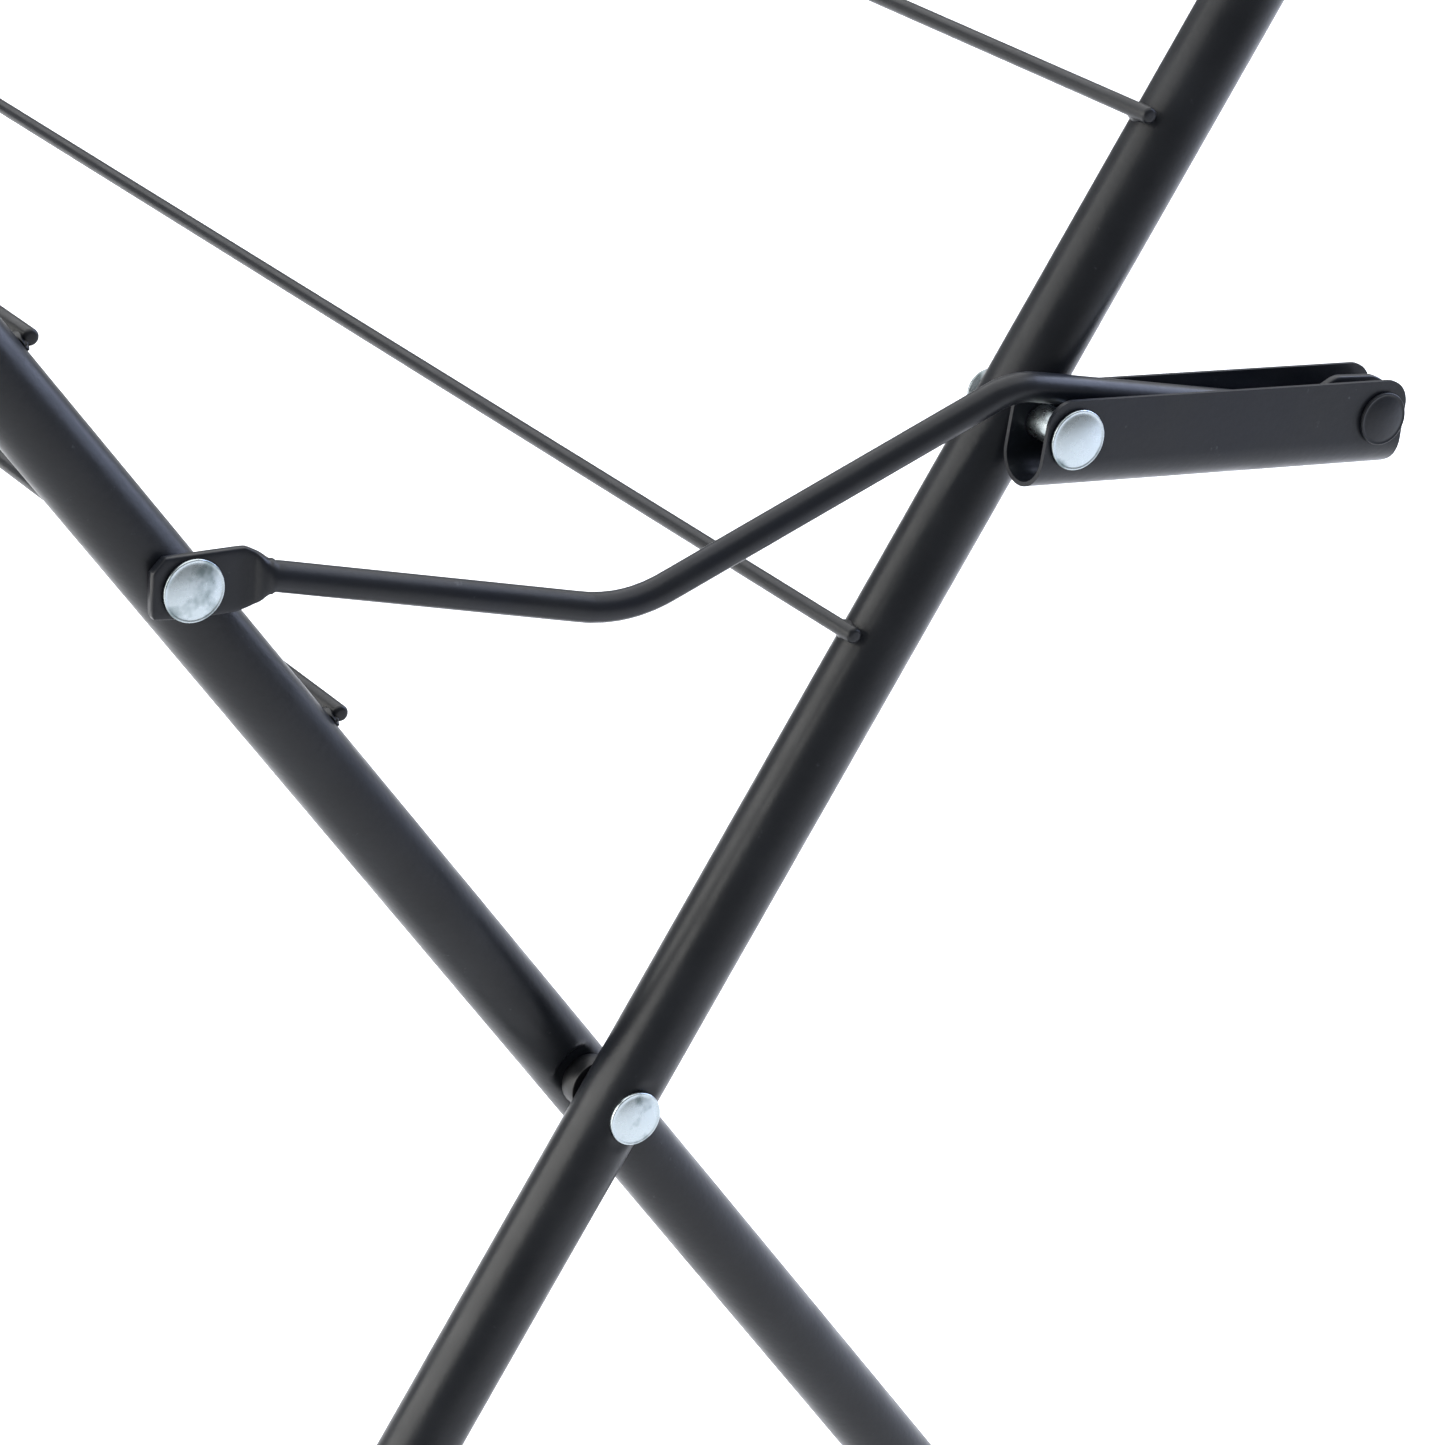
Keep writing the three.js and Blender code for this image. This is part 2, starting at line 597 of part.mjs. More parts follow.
// The rest of that rivet stays in the inner frame's leg.
function stayRivetTail(side) {
  const seat = -INNER_LEG_IN + TUBE_R;
  const tailSeat = -INNER_LEG_IN - TUBE_R - TOUCH;
  const profile = tailProfile(LOCK_SHANK_D, tailSeat, TAIL_H);
  profile.push(new THREE.Vector2(LOCK_SHANK_D / 2, seat - TOUCH));
  profile.push(new THREE.Vector2(0, seat - TOUCH));
  return turnedOnLeg(profile, side, OUTER_LEG_Y);
}

// ---- Assembly -----------------------------------------------------------------------

function buildLock(side, end) {
  const lock = new THREE.Group();
  const atLinkPivot = new THREE.Group();
  atLinkPivot.position.set(LINK_PIVOT.x, 0, LINK_PIVOT.y);
  atLinkPivot.rotation.y = -LINK_ANGLE;
  atLinkPivot.add(named(`lock_link_${end}`, link(side), LOCK_PAINT));
  atLinkPivot.add(named(`link_rivet_${end}`, linkRivet(side), ZINC));
  atLinkPivot.add(named(`link_washer_${end}`, linkWasher(side), PLASTIC));
  atLinkPivot.add(named(`link_sleeve_${end}`, linkSleeve(side), ZINC));
  const joint = named(`joint_rivet_${end}`, jointRivet(side), LOCK_PAINT);
  joint.position.x = LINK_CENTRES;
  atLinkPivot.add(joint);
  lock.add(atLinkPivot);
  lock.add(named(`stay_${end}`, stay(side), LOCK_PAINT));
  const atStayPivot = new THREE.Group();
  atStayPivot.position.set(STAY_PIVOT.x, 0, STAY_PIVOT.y);
  atStayPivot.add(named(`stay_rivet_head_${end}`, stayRivetHead(side), ZINC));
  atStayPivot.add(named(`stay_rivet_tail_${end}`, stayRivetTail(side), ZINC));
  lock.add(atStayPivot);
  return lock;
}

function buildRack() {
  const rack = new THREE.Group();
  rack.add(buildFrame('outer', {
    legY: OUTER_LEG_Y,
    legReach: OUTER_LEG_REACH,
    lean: OUTER_LEAN,
    railReach: OUTER_RAIL_REACH,
    firstWire: OUTER_FIRST_WIRE,
    wireProud: OUTER_WIRE_PROUD,
    lockAt: new THREE.Vector2(0, LINK_PIVOT_REACH),
    dimpleSide: -1,
  }));
  rack.add(buildFrame('inner', {
    legY: INNER_LEG_Y,
    legReach: INNER_LEG_REACH,
    lean: -INNER_LEAN,
    railReach: INNER_RAIL_REACH,
    firstWire: INNER_FIRST_WIRE,
    wireProud: INNER_WIRE_PROUD,
    lockAt: new THREE.Vector2(STAY_PIVOT_ASIDE, STAY_PIVOT_REACH),
    dimpleSide: 1,
  }));
  for (const { side, end } of SIDES) {
    rack.add(named(`pivot_rivet_${end}`, pivotRivet(side), ZINC));
    rack.add(named(`pivot_spacer_${end}`, pivotSpacer(side), PLASTIC));
    rack.add(buildLock(side, end));
  }
  rack.position.set(PIVOT_X, 0, PIVOT_HEIGHT);
  return rack;
}

export default buildRack();
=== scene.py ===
"""Folding drying rack of powder-coated steel tube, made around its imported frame."""

import json
import math

import bmesh
import bpy
import numpy as np
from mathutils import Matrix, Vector


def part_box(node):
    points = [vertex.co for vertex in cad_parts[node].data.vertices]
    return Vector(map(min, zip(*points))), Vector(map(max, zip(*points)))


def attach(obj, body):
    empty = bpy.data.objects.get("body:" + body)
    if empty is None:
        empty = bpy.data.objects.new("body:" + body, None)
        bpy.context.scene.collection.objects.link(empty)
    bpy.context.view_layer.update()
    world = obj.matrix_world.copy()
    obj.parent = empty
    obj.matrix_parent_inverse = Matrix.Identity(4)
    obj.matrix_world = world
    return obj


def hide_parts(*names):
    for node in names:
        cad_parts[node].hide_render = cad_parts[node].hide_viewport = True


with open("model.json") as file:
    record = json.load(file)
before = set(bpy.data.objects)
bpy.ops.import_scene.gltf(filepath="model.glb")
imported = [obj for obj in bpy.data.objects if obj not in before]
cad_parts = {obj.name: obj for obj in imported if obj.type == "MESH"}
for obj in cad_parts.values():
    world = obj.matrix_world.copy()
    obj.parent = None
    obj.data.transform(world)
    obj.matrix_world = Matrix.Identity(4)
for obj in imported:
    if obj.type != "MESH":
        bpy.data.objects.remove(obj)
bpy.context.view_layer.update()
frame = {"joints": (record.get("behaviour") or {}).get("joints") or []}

bl_info = {
    "name": "Folding drying rack",
    "version": (1, 0, 0),
    "blender": (4, 5, 0),
    "location": "View3D > Sidebar > Drying Rack",
    "description": "Makes the tubes, wires, lock and fittings of a folding drying rack",
    "category": "Object",
}

MM = 0.001
ENDS = {"front": -1, "back": 1}

# Detail that the frame doesn't say, in metres
HEAD_HEIGHT = 2.2 * MM
DOME_RISE = 0.8 * MM              # the middle of a head above its groove
TAIL_HEIGHT = 1.6 * MM
FLUSH_TAIL_HEIGHT = 1.2 * MM
SHANK_RADIUS = 3.1 * MM
TOUCH = 0.3 * MM
FOOT_LENGTH = 34 * MM
FOOT_WALL = 1.8 * MM
CUT_ALLOWANCE = 3 * MM           # plastic under the cut end of a leg
RECESS_DEPTH = 2.4 * MM          # pressed flat round the pivot, on the inner tube
DIMPLE_DEPTH = 0.8 * MM          # the same on the outer tube
DENT_DEPTH = 0.5 * MM            # drawn in by a rivet head
HEAD_DENT_RADIUS = 9.5 * MM
LINK_DENT_RADIUS = 8.5 * MM
TAIL_DENT_RADIUS = 8 * MM
TAIL_RADIUS = 6.3 * MM
TAIL_ROUND = 1.6 * MM
POINT_RADIUS = 0.03 * MM         # where a turned piece closes on its own line
TIP_RADIUS = 0.05 * MM
WIRE_EDGE = 1.1 * MM             # a wire's rounded end

# Weld beads
BEAD_HALF_WIDTH = 2.6 * MM       # along the tube
BEAD_HALF_HEIGHT = 1.9 * MM      # out from it
BEAD_SUNK = 2.5 * MM             # its middle below the wire's
BEAD_INBOARD = 1.5 * MM          # its middle inboard of the leg's axis

# Feet
SOLE_EDGE = 1.3 * MM
GRIP_DEPTH = 0.55 * MM
GRIP_PLACES = (0.42, 0.58, 0.74)  # shares of the cap's height
GRIP_WIDTH = 0.055               # the same

# Link
LINK_ABOVE, LINK_BELOW = 9.8 * MM, 14 * MM
LINK_HEEL, LINK_SLANT, LINK_TOE = 9.4 * MM, 1 * MM, 7.5 * MM
LINK_CORNER, LINK_TOE_CORNER = 6.6 * MM, 3 * MM

# Stay
LUG_TILT, EYE_TILT = math.radians(4.4), math.radians(9.5)  # its flat ends, below level
LUG_RISE = 0.9 * MM              # the lug's middle line above its rivet
LUG_END = 10 * MM                # lug past its rivet
LUG_REACH = 13 * MM              # rivet to the end of the flat
LUG_NECK = 21 * MM               # rivet to the round rod
LOW_BEND_ALONG = 108.3 * MM      # along the line of the stay's two pivots
LOW_BEND_BELOW = 21.7 * MM
LOW_BEND_OUT = 3.4 * MM          # outward from the outer leg's axis
SLEEVE_RADIUS = 4.5 * MM
REST_BEND_BACK = 12.4 * MM       # inboard of the link's rivet
REST_BEND_IN = 1 * MM            # towards the rack from the link's middle
REST_BEND_RISE = 5.2 * MM        # its sharp corner above a rod laid on the sleeve
EYE_NECK = 21 * MM               # joint to the round rod
EYE_RADIUS = 9 * MM
EYE_RUN = 36 * MM                # drawn with finer steps towards the eye's end
STAY_BENDS = [12 * MM, 12 * MM, 34 * MM, 18 * MM, 25 * MM]
FLAT_FROM, FLAT_TO = 24, 31      # mm from the lug's cut end, where flat turns into round
CRIMP_PLACES = (26, 29)          # the same
CRIMP_DEPTH, CRIMP_WIDTH = 0.4, 0.8  # mm
LUG_ONLY = 60                    # mm from the cut end, past the lug and before the eye

# Steps of the meshes
TUBE_SIDES = 56
STAY_SIDES = 48
WIRE_SIDES = 28
TURNED_SIDES = 64
RING_SIDES = 48

# Stage
FLOOR_HALF = 30.0
FLOOR_DROP = 0.5 * MM
WORLD_COLOUR = "#f4f6f8"
WORLD_STRENGTH = 0.42
LIGHTS = (  # name, place, aim, size, watts, colour
    ("Overhead", (0.4, 0.8, 3.6), (0, 0, 0.4), (6.5, 6.5), 330, "#ffffff"),
    ("Left", (-2.6, 0.3, 1.4), (0, -0.3, 0.5), (3.4, 2.4), 150, "#fffdf8"),
    ("Right", (2.7, -0.7, 1.8), (0, -0.3, 0.5), (2.4, 2.4), 130, "#cfdcff"),
)
CAMERA_LENS = 128.78
CAMERA_FROM_PIVOT = (-0.575313, -0.991045, 0.619507)
CAMERA_LOOKS = (0.47646, 0.77774, -0.41001)

# Colour sockets of the Mix node
MIX_FIRST, MIX_SECOND, MIX_RESULT = 6, 7, 2


def linear(hexcode):
    """sRGB hex to linear colour: c / 12.92 below 0.04045, else ((c + 0.055) / 1.055) ^ 2.4."""
    srgb = np.array([int(hexcode[i:i + 2], 16) / 255 for i in (1, 3, 5)])
    value = np.where(srgb <= 0.04045, srgb / 12.92, ((srgb + 0.055) / 1.055) ** 2.4)
    return tuple(float(c) for c in value) + (1.0,)


# ---- Places read from the frame -----------------------------------------------------


def xz(point):
    """The x and z of a point as an array; the rack is the same all along y."""
    return np.array([point[0], point[2]], float)


def middle(node):
    low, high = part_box(node)
    return xz((low + high) / 2)


def joint_place(name):
    return next(xz(j["pos_m"]) for j in frame["joints"] if j["name"] == name)


def unit(vector):
    return vector / np.linalg.norm(vector)


PIVOT = joint_place("frame_fold")
LINK_PIVOT = joint_place("link_swing_front")
STAY_JOINT = joint_place("stay_swing_front")
STAY_PIVOT = middle("stay_rivet_head_front")
OUTER_ARM = unit(LINK_PIVOT - PIVOT)
INNER_ARM = unit(middle("inner_wire_3") - middle("inner_wire_1"))
OUTER_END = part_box("outer_frame_tube")[1][1]
INNER_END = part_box("inner_frame_tube")[1][1]


class RackSizes(bpy.types.PropertyGroup):
    """Sizes a user may change; the places come from the frame."""

    tube: bpy.props.FloatProperty(
        name="Tube diameter", description="Outside diameter of the bent frame tubes",
        default=19 * MM, subtype="DISTANCE", unit="LENGTH")
    corner: bpy.props.FloatProperty(
        name="Corner radius", description="Bend radius of the top corners, on the tube's axis",
        default=60 * MM, subtype="DISTANCE", unit="LENGTH")
    recess: bpy.props.FloatProperty(
        name="Recess radius", description="Radius of the flat pressed in a tube at the pivot",
        default=10.5 * MM, subtype="DISTANCE", unit="LENGTH")
    bead: bpy.props.FloatProperty(
        name="Weld length", description="Length of a weld bead along its wire",
        default=7.6 * MM, subtype="DISTANCE", unit="LENGTH")
    stay: bpy.props.FloatProperty(
        name="Stay diameter", description="Diameter of the round rod of the stays",
        default=7.6 * MM, subtype="DISTANCE", unit="LENGTH")
    lug: bpy.props.FloatProperty(
        name="Lug thickness", description="Thickness of the flattened ends of the stays",
        default=2.8 * MM, subtype="DISTANCE", unit="LENGTH")
    link_width: bpy.props.FloatProperty(
        name="Link width", description="Width of the lock's channel over its two walls",
        default=16.5 * MM, subtype="DISTANCE", unit="LENGTH")
    link_wall: bpy.props.FloatProperty(
        name="Link wall", description="Sheet thickness of the lock's channel",
        default=1.2 * MM, subtype="DISTANCE", unit="LENGTH")


def colour_property(label, text, hexcode):
    return bpy.props.FloatVectorProperty(
        name=label, description=text, default=linear(hexcode), size=4, subtype="COLOR",
        min=0.0, max=1.0)


class RackColours(bpy.types.PropertyGroup):
    """Colours a user may change."""

    coat: colour_property("Frame coat", "Powder coat of the two frames", "#101216")
    coat_thin: colour_property("Thin coat", "Powder coat where it ran thin", "#15171b")
    lock_coat: colour_property("Lock coat", "Powder coat of the stays and links", "#11141b")
    scuff: colour_property("Scuffs", "Rubbed marks on the powder coat", "#33363a")
    zinc: colour_property("Zinc", "Plated rivet heads and sleeves", "#a3acb0")
    # Dull zinc: clouded plating, and also a painted dark reflection on the heads
    zinc_dull_and_painted_reflection: colour_property("Dull zinc", "Clouded patches of the plating", "#6d797b")
    feet: colour_property("Feet", "Moulded caps under the legs", "#0f1012")
    washers: colour_property("Washers", "Nylon spacers and washers", "#0e0f11")
    floor: colour_property("Floor", "Plain studio floor", "#f2f2f1")


# ---- Surfaces -----------------------------------------------------------------------


def surface(name, points, body, slot, replaces=(), sheet=False):
    """Makes a piece of a grid of points: rows run along it, columns close round it.

    The first and last rows are closed by one face each, and the faces are turned to point
    outwards. A sheet stays open, and wall_of gives it its thickness."""
    rows, columns = points.shape[:2]
    index = np.arange(rows * columns).reshape(rows, columns)
    around = index if sheet else np.concatenate([index, index[:, :1]], axis=1)
    quads = np.stack([around[:-1, :-1], around[:-1, 1:], around[1:, 1:], around[1:, :-1]], -1)
    faces = quads.reshape(-1, 4).tolist()
    if not sheet:
        faces += [index[0, ::-1].tolist(), index[-1].tolist()]
    mesh = bpy.data.meshes.new(name)
    mesh.from_pydata(points.reshape(-1, 3).tolist(), [], faces)
    mesh.update()
    if not sheet:
        face_outwards(mesh)
    mesh.shade_smooth()
    return finish_piece(name, mesh, body, slot, replaces)


def face_outwards(mesh):
    shape = bmesh.new()
    shape.from_mesh(mesh)
    bmesh.ops.recalc_face_normals(shape, faces=shape.faces)
    shape.to_mesh(mesh)
    shape.free()


def finish_piece(name, mesh, body, slot, replaces):
    piece = bpy.data.objects.new(name, mesh)
    bpy.context.scene.collection.objects.link(piece)
    mesh.materials.append(finish_for(slot))
    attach(piece, body)
    if replaces:
        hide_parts(*replaces)
    return piece


def turned(centre, side, radii, outward, sides=TURNED_SIDES):
    """Turns a profile about a line along y: x + r cos t, side * distance, z + r sin t."""
    angle = np.linspace(0, 2 * math.pi, sides, endpoint=False)
    radii, outward = np.asarray(radii)[:, None], np.asarray(outward)[:, None]
    x = centre[0] + radii * np.cos(angle)
    z = centre[1] + radii * np.sin(angle)
    return np.stack([x, side * outward + 0 * x, z], -1)


def bent_line(corners, radii, step=0.5 * MM):
    """A line through the corners, each rounded by an arc of its radius.

    An arc leaves the straight at radius * tan(turn / 2) from its corner; points on it are
    centre + radius (cos a * towards the start + sin a * along the straight)."""
    corners = [np.asarray(c, float) for c in corners]
    parts = [corners[0][None]]
    for before, corner, after, radius in zip(corners, corners[1:], corners[2:], radii):
        along, onward = unit(corner - before), unit(after - corner)
        turn = math.acos(float(np.clip(along @ onward, -1, 1)))
        start = corner - along * radius * math.tan(turn / 2)
        inwards = unit(onward - along * (along @ onward))
        angle = np.linspace(0, turn, max(6, int(radius * turn / step)))[:, None]
        parts.append(start + radius * (np.sin(angle) * along + (1 - np.cos(angle)) * inwards))
    parts.append(corners[-1][None])
    return np.concatenate(parts)


def stations(line, coarse, fine, places=(), reach=0.0):
    """Distances along a line: coarse everywhere, and fine where it bends or near places."""
    steps = np.linalg.norm(np.diff(line, axis=0), axis=1)
    at = np.concatenate([[0], np.cumsum(steps)])
    marks = [at[:1], at[-1:], np.arange(0, at[-1], coarse), at[::6]]
    marks += [np.arange(p - reach, p + reach, fine) for p in places]
    marks = np.clip(np.concatenate(marks), 0, at[-1])
    marks = np.unique(np.round(marks / (0.2 * MM))) * 0.2 * MM
    marks = np.clip(marks, 0, at[-1])
    marks[-1] = at[-1]
    return at, marks


def on_line(line, at, marks):
    """Points and directions at distances along a line, by interpolation."""
    def place(distance):
        return np.stack([np.interp(distance, at, line[:, k]) for k in range(3)], -1)
    ahead = place(np.minimum(marks + MM, at[-1])) - place(np.maximum(marks - MM, 0))
    return place(marks), ahead / np.linalg.norm(ahead, axis=1, keepdims=True)


def smoothstep(value, low, high):
    t = np.clip((value - low) / (high - low), 0, 1)
    return t * t * (3 - 2 * t)


# ---- Materials ----------------------------------------------------------------------


def add_node(tree, kind, values=None, links=None, **settings):
    """Adds a node, sets its options and unlinked sockets, and links the others."""
    node = tree.nodes.new(kind)
    for option, value in settings.items():
        setattr(node, option, value)
    for socket, value in (values or {}).items():
        node.inputs[socket].default_value = value
    for socket, source in (links or {}).items():
        tree.links.new(source, node.inputs[socket])
    return node


def new_material(name):
    material = bpy.data.materials.new(name)
    material.use_nodes = True
    material.node_tree.nodes.clear()
    return material, material.node_tree


def pattern_of(tree, size, detail=2.0, roughness=0.5, stretch=(1, 1, 1)):
    """Noise whose blotches are about size metres across, on the piece's own coordinates."""
    where = add_node(tree, "ShaderNodeTexCoord").outputs["Object"]
    laid = add_node(tree, "ShaderNodeMapping", {"Scale": stretch}, {"Vector": where})
    values = {"Scale": 1 / size, "Detail": detail, "Roughness": roughness}
    return add_node(tree, "ShaderNodeTexNoise", values, {"Vector": laid.outputs[0]}).outputs[0]


def spread(tree, source, low, high, to_low=0.0, to_high=1.0):
    values = {"From Min": low, "From Max": high, "To Min": to_low, "To Max": to_high}
    return add_node(tree, "ShaderNodeMapRange", values, {"Value": source}).outputs[0]


def blended(tree, factor, first, second):
    """Two colours mixed by a pattern; each is a colour or another node's output."""
    colours = {MIX_FIRST: first, MIX_SECOND: second}
    links = {k: c for k, c in colours.items() if isinstance(c, bpy.types.NodeSocket)}
    values = {k: tuple(c) for k, c in colours.items() if k not in links}
    links["Factor"] = factor
    mix = add_node(tree, "ShaderNodeMix", values, links, data_type="RGBA")
    return mix.outputs[MIX_RESULT]


def close_material(tree, colour, roughness, height, depth, **sockets):
    """Puts colour, roughness and a height pattern, depth metres deep, on the surface."""
    values = {"Strength": 1.0, "Distance": depth}
    bump = add_node(tree, "ShaderNodeBump", values, {"Height": height})
    links = {"Base Color": colour, "Roughness": roughness, "Normal": bump.outputs[0]}
    shader = add_node(tree, "ShaderNodeBsdfPrincipled", sockets, links)
    add_node(tree, "ShaderNodeOutputMaterial", links={"Surface": shader.outputs[0]})


def powder_coated_steel(name, coat, thin, scuff):
    """Polyester powder, sprayed dry and baked: satin, with a faint orange peel.

    It gives the eye a near-black, slightly blue film with soft highlights, which drifts a
    little in gloss and is rubbed paler in a few short marks."""
    material, tree = new_material(name)
    drift = spread(tree, pattern_of(tree, 28 * MM), 0.38, 0.64)
    rubbed = spread(tree, pattern_of(tree, 5 * MM, 4.0, 0.7, (1, 0.35, 1)), 0.68, 0.75, 0.0, 0.6)
    colour = blended(tree, rubbed, blended(tree, drift, coat, thin), scuff)
    roughness = spread(tree, pattern_of(tree, 9 * MM, 3.0), 0.3, 0.7, 0.3, 0.4)
    peel = pattern_of(tree, 1.7 * MM, 1.0)  # orange peel of 1.5 to 2 mm, its real size
    close_material(tree, colour, roughness, peel, 0.035 * MM, **{"Specular IOR Level": 0.22})
    return material


def zinc_plated_steel(name, bright, dull_and_painted_reflection):
    """Barrel-plated zinc, bright and blue-white, clouded where it was handled; its darker blotches
    are partly this clouding and partly a painted dark reflection.
    """
    material, tree = new_material(name)
    # Noise blotches of dull zinc: partly real clouding of the plating, partly a painted dark
    # reflection
    cloud_and_painted_reflection = spread(tree, pattern_of(tree, 9 * MM, 3.0, 0.55), 0.54, 0.68)
    colour = blended(tree, cloud_and_painted_reflection, bright, dull_and_painted_reflection)
    roughness = spread(tree, pattern_of(tree, 2.4 * MM, 3.0), 0.3, 0.7, 0.24, 0.32)
    # Tumbling marks are about 0.1 mm; they are drawn at 0.5 mm, or they would not show.
    marks = pattern_of(tree, 0.5 * MM, 2.0)
    close_material(tree, colour, roughness, marks, 0.004 * MM, Metallic=1.0)
    return material


def moulded_plastic(name, colour, grain, roughness):
    """Injection-moulded plastic: an even colour and a fine spark-eroded grain."""
    material, tree = new_material(name)
    tone = spread(tree, pattern_of(tree, 12 * MM), 0.35, 0.65, 0.0, 0.5)
    pale = tuple(min(1.0, c * 1.6) for c in colour[:3]) + (1.0,)
    gloss = spread(tree, pattern_of(tree, 6 * MM), 0.3, 0.7, roughness - 0.05, roughness + 0.06)
    texture = pattern_of(tree, grain, 1.0)
    close_material(tree, blended(tree, tone, colour, pale), gloss, texture, 0.03 * MM,
                   **{"Specular IOR Level": 0.3})
    return material


def painted_floor(name, colour):
    """Matte emulsion on a flat floor, with the faint nap of its roller."""
    material, tree = new_material(name)
    darker = tuple(c * 0.97 for c in colour[:3]) + (1.0,)
    tone = spread(tree, pattern_of(tree, 0.9), 0.3, 0.7)
    gloss = spread(tree, pattern_of(tree, 0.3), 0.3, 0.7, 0.75, 0.85)
    nap = pattern_of(tree, 3 * MM, 1.0)
    close_material(tree, blended(tree, tone, colour, darker), gloss, nap, 0.02 * MM)
    return material


FINISHES = {}


def finish_for(slot):
    """The one material of a slot, made when it is first asked for."""
    if slot not in FINISHES:
        c = bpy.context.scene.rack_colours
        makers = {
            "frame_paint": lambda: powder_coated_steel(
                "Powder-coated steel, frame", c.coat, c.coat_thin, c.scuff),
            "lock_paint": lambda: powder_coated_steel(
                "Powder-coated steel, lock", c.lock_coat, c.coat_thin, c.scuff),
            "zinc_plate": lambda: zinc_plated_steel("Zinc-plated steel", c.zinc, c.zinc_dull_and_painted_reflection),
            "foot_plastic": lambda: moulded_plastic(
                "Moulded polypropylene", c.feet, 0.9 * MM, 0.5),
            "washer_plastic": lambda: moulded_plastic(
                "Moulded nylon", c.washers, 1.4 * MM, 0.42),
            "floor": lambda: painted_floor("Matte floor paint", c.floor),
        }
        FINISHES[slot] = makers[slot]()
    return FINISHES[slot]


# ---- Frames -------------------------------------------------------------------------


def frame_facts(kind):
    """Arm direction, leg y, distances to the rail and the floor, and the facing side."""
    tube = bpy.context.scene.rack_sizes.tube
    outer = kind == "outer"
    arm = OUTER_ARM if outer else INNER_ARM
    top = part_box(f"{kind}_frame_tube")[1][2] - tube / 2
    facing = np.array([-arm[1], arm[0]]) if outer else np.array([arm[1], -arm[0]])
    return {
        "arm": arm,
        "leg": (OUTER_END if outer else INNER_END) - tube / 2,
        "rail": (top - PIVOT[1]) / arm[1],
        "floor": PIVOT[1] / arm[1],
        "facing": facing,
        "radius": tube / 2,
    }


def press(points, place, leg, side, outward, radius, depth, edge=1.5 * MM):
    """Presses a flat in a tube: no point within radius of place stands further out from the
    leg's axis than the tube's radius less depth, easing off over the edge."""
    bore = bpy.context.scene.rack_sizes.tube / 2
    away = np.hypot(points[..., 0] - place[0], points[..., 2] - place[1])
    out = (points[..., 1] * side - leg) * outward
    limit = bore - depth * (1 - smoothstep(away, radius - edge, radius + edge))
    near = (away < radius + 2 * edge) & (points[..., 1] * side > 0)
    pressed = np.where(near, np.minimum(out, limit), out)
    points[..., 1] = np.where(near, side * (leg + outward * pressed), points[..., 1])


def frame_tube(kind):
    """One tube bent to a U: circles of the tube's radius square to its bent line."""
    sizes = bpy.context.scene.rack_sizes
    facts = frame_facts(kind)
    arm, leg, radius = facts["arm"], facts["leg"], facts["radius"]
    lean = abs(arm[0] / arm[1])
    end = facts["floor"] - radius * lean - CUT_ALLOWANCE

    def at(reach, y):
        return PIVOT[0] + arm[0] * reach, y, PIVOT[1] + arm[1] * reach
    corners = [at(-end, -leg), at(facts["rail"], -leg), at(facts["rail"], leg), at(-end, leg)]
    line = bent_line(corners, [sizes.corner, sizes.corner])
    total = np.linalg.norm(np.diff(line, axis=0), axis=1).sum()
    lock = end + np.linalg.norm((LINK_PIVOT if kind == "outer" else STAY_PIVOT) - PIVOT)
    places = [end, lock, total - lock, total - end]
    distance, marks = stations(line, 16 * MM, 0.8 * MM, places, 15 * MM)
    centres, along = on_line(line, distance, marks)
    across = np.array([arm[1], 0, -arm[0]])
    towards = np.cross(along, across)
    angle = np.linspace(0, 2 * math.pi, TUBE_SIDES, endpoint=False)[None, :, None]
    points = centres[:, None] + radius * (
        np.cos(angle) * across + np.sin(angle) * towards[:, None])
    for side in ENDS.values():
        if kind == "outer":
            press(points, PIVOT, leg, side, -1, sizes.recess, DIMPLE_DEPTH)
            press(points, PIVOT, leg, side, 1, HEAD_DENT_RADIUS, DENT_DEPTH)
            press(points, LINK_PIVOT, leg, side, -1, LINK_DENT_RADIUS, DENT_DEPTH)
        else:
            press(points, PIVOT, leg, side, 1, sizes.recess, RECESS_DEPTH)
            press(points, PIVOT, leg, side, -1, TAIL_DENT_RADIUS, DENT_DEPTH)
            press(points, STAY_PIVOT, leg, side, -1, TAIL_DENT_RADIUS, DENT_DEPTH)
    node = f"{kind}_frame_tube"
    surface(f"bent_{node}", points, f"{kind}_frame", "frame_paint", [node])


class RACK_OT_frame_tubes(bpy.types.Operator):
    """Bends the two frame tubes, pressed in where their rivets bear"""
    bl_idname = "rack.frame_tubes"
    bl_label = "Frame Tubes"

    def execute(self, context):
        for kind in ("outer", "inner"):
            frame_tube(kind)
        return {"FINISHED"}


def straight_wire(node, kind):
    """A wire turned about its own line: full radius, with ends rounded off by 1.1 mm."""
    low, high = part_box(node)
    radius = (high[2] - low[2]) / 2
    turn = np.linspace(0, math.pi / 2, 6)
    rise = WIRE_EDGE * (1 - np.sin(turn))
    inward = WIRE_EDGE * (1 - np.cos(turn))
    length = np.linspace(low[1] + WIRE_EDGE, high[1] - WIRE_EDGE, 40)[1:-1]
    tip = np.array([low[1]])
    y = np.concatenate([tip, low[1] + rise[::-1], length, high[1] - rise, [high[1]]])
    r = np.concatenate([[TIP_RADIUS], radius - inward[::-1], np.full(len(length), radius),
                        radius - inward, [TIP_RADIUS]])
    surface(f"drawn_{node}", turned(middle(node), 1, r, y, WIRE_SIDES), f"{kind}_frame",
            "frame_paint", [node])


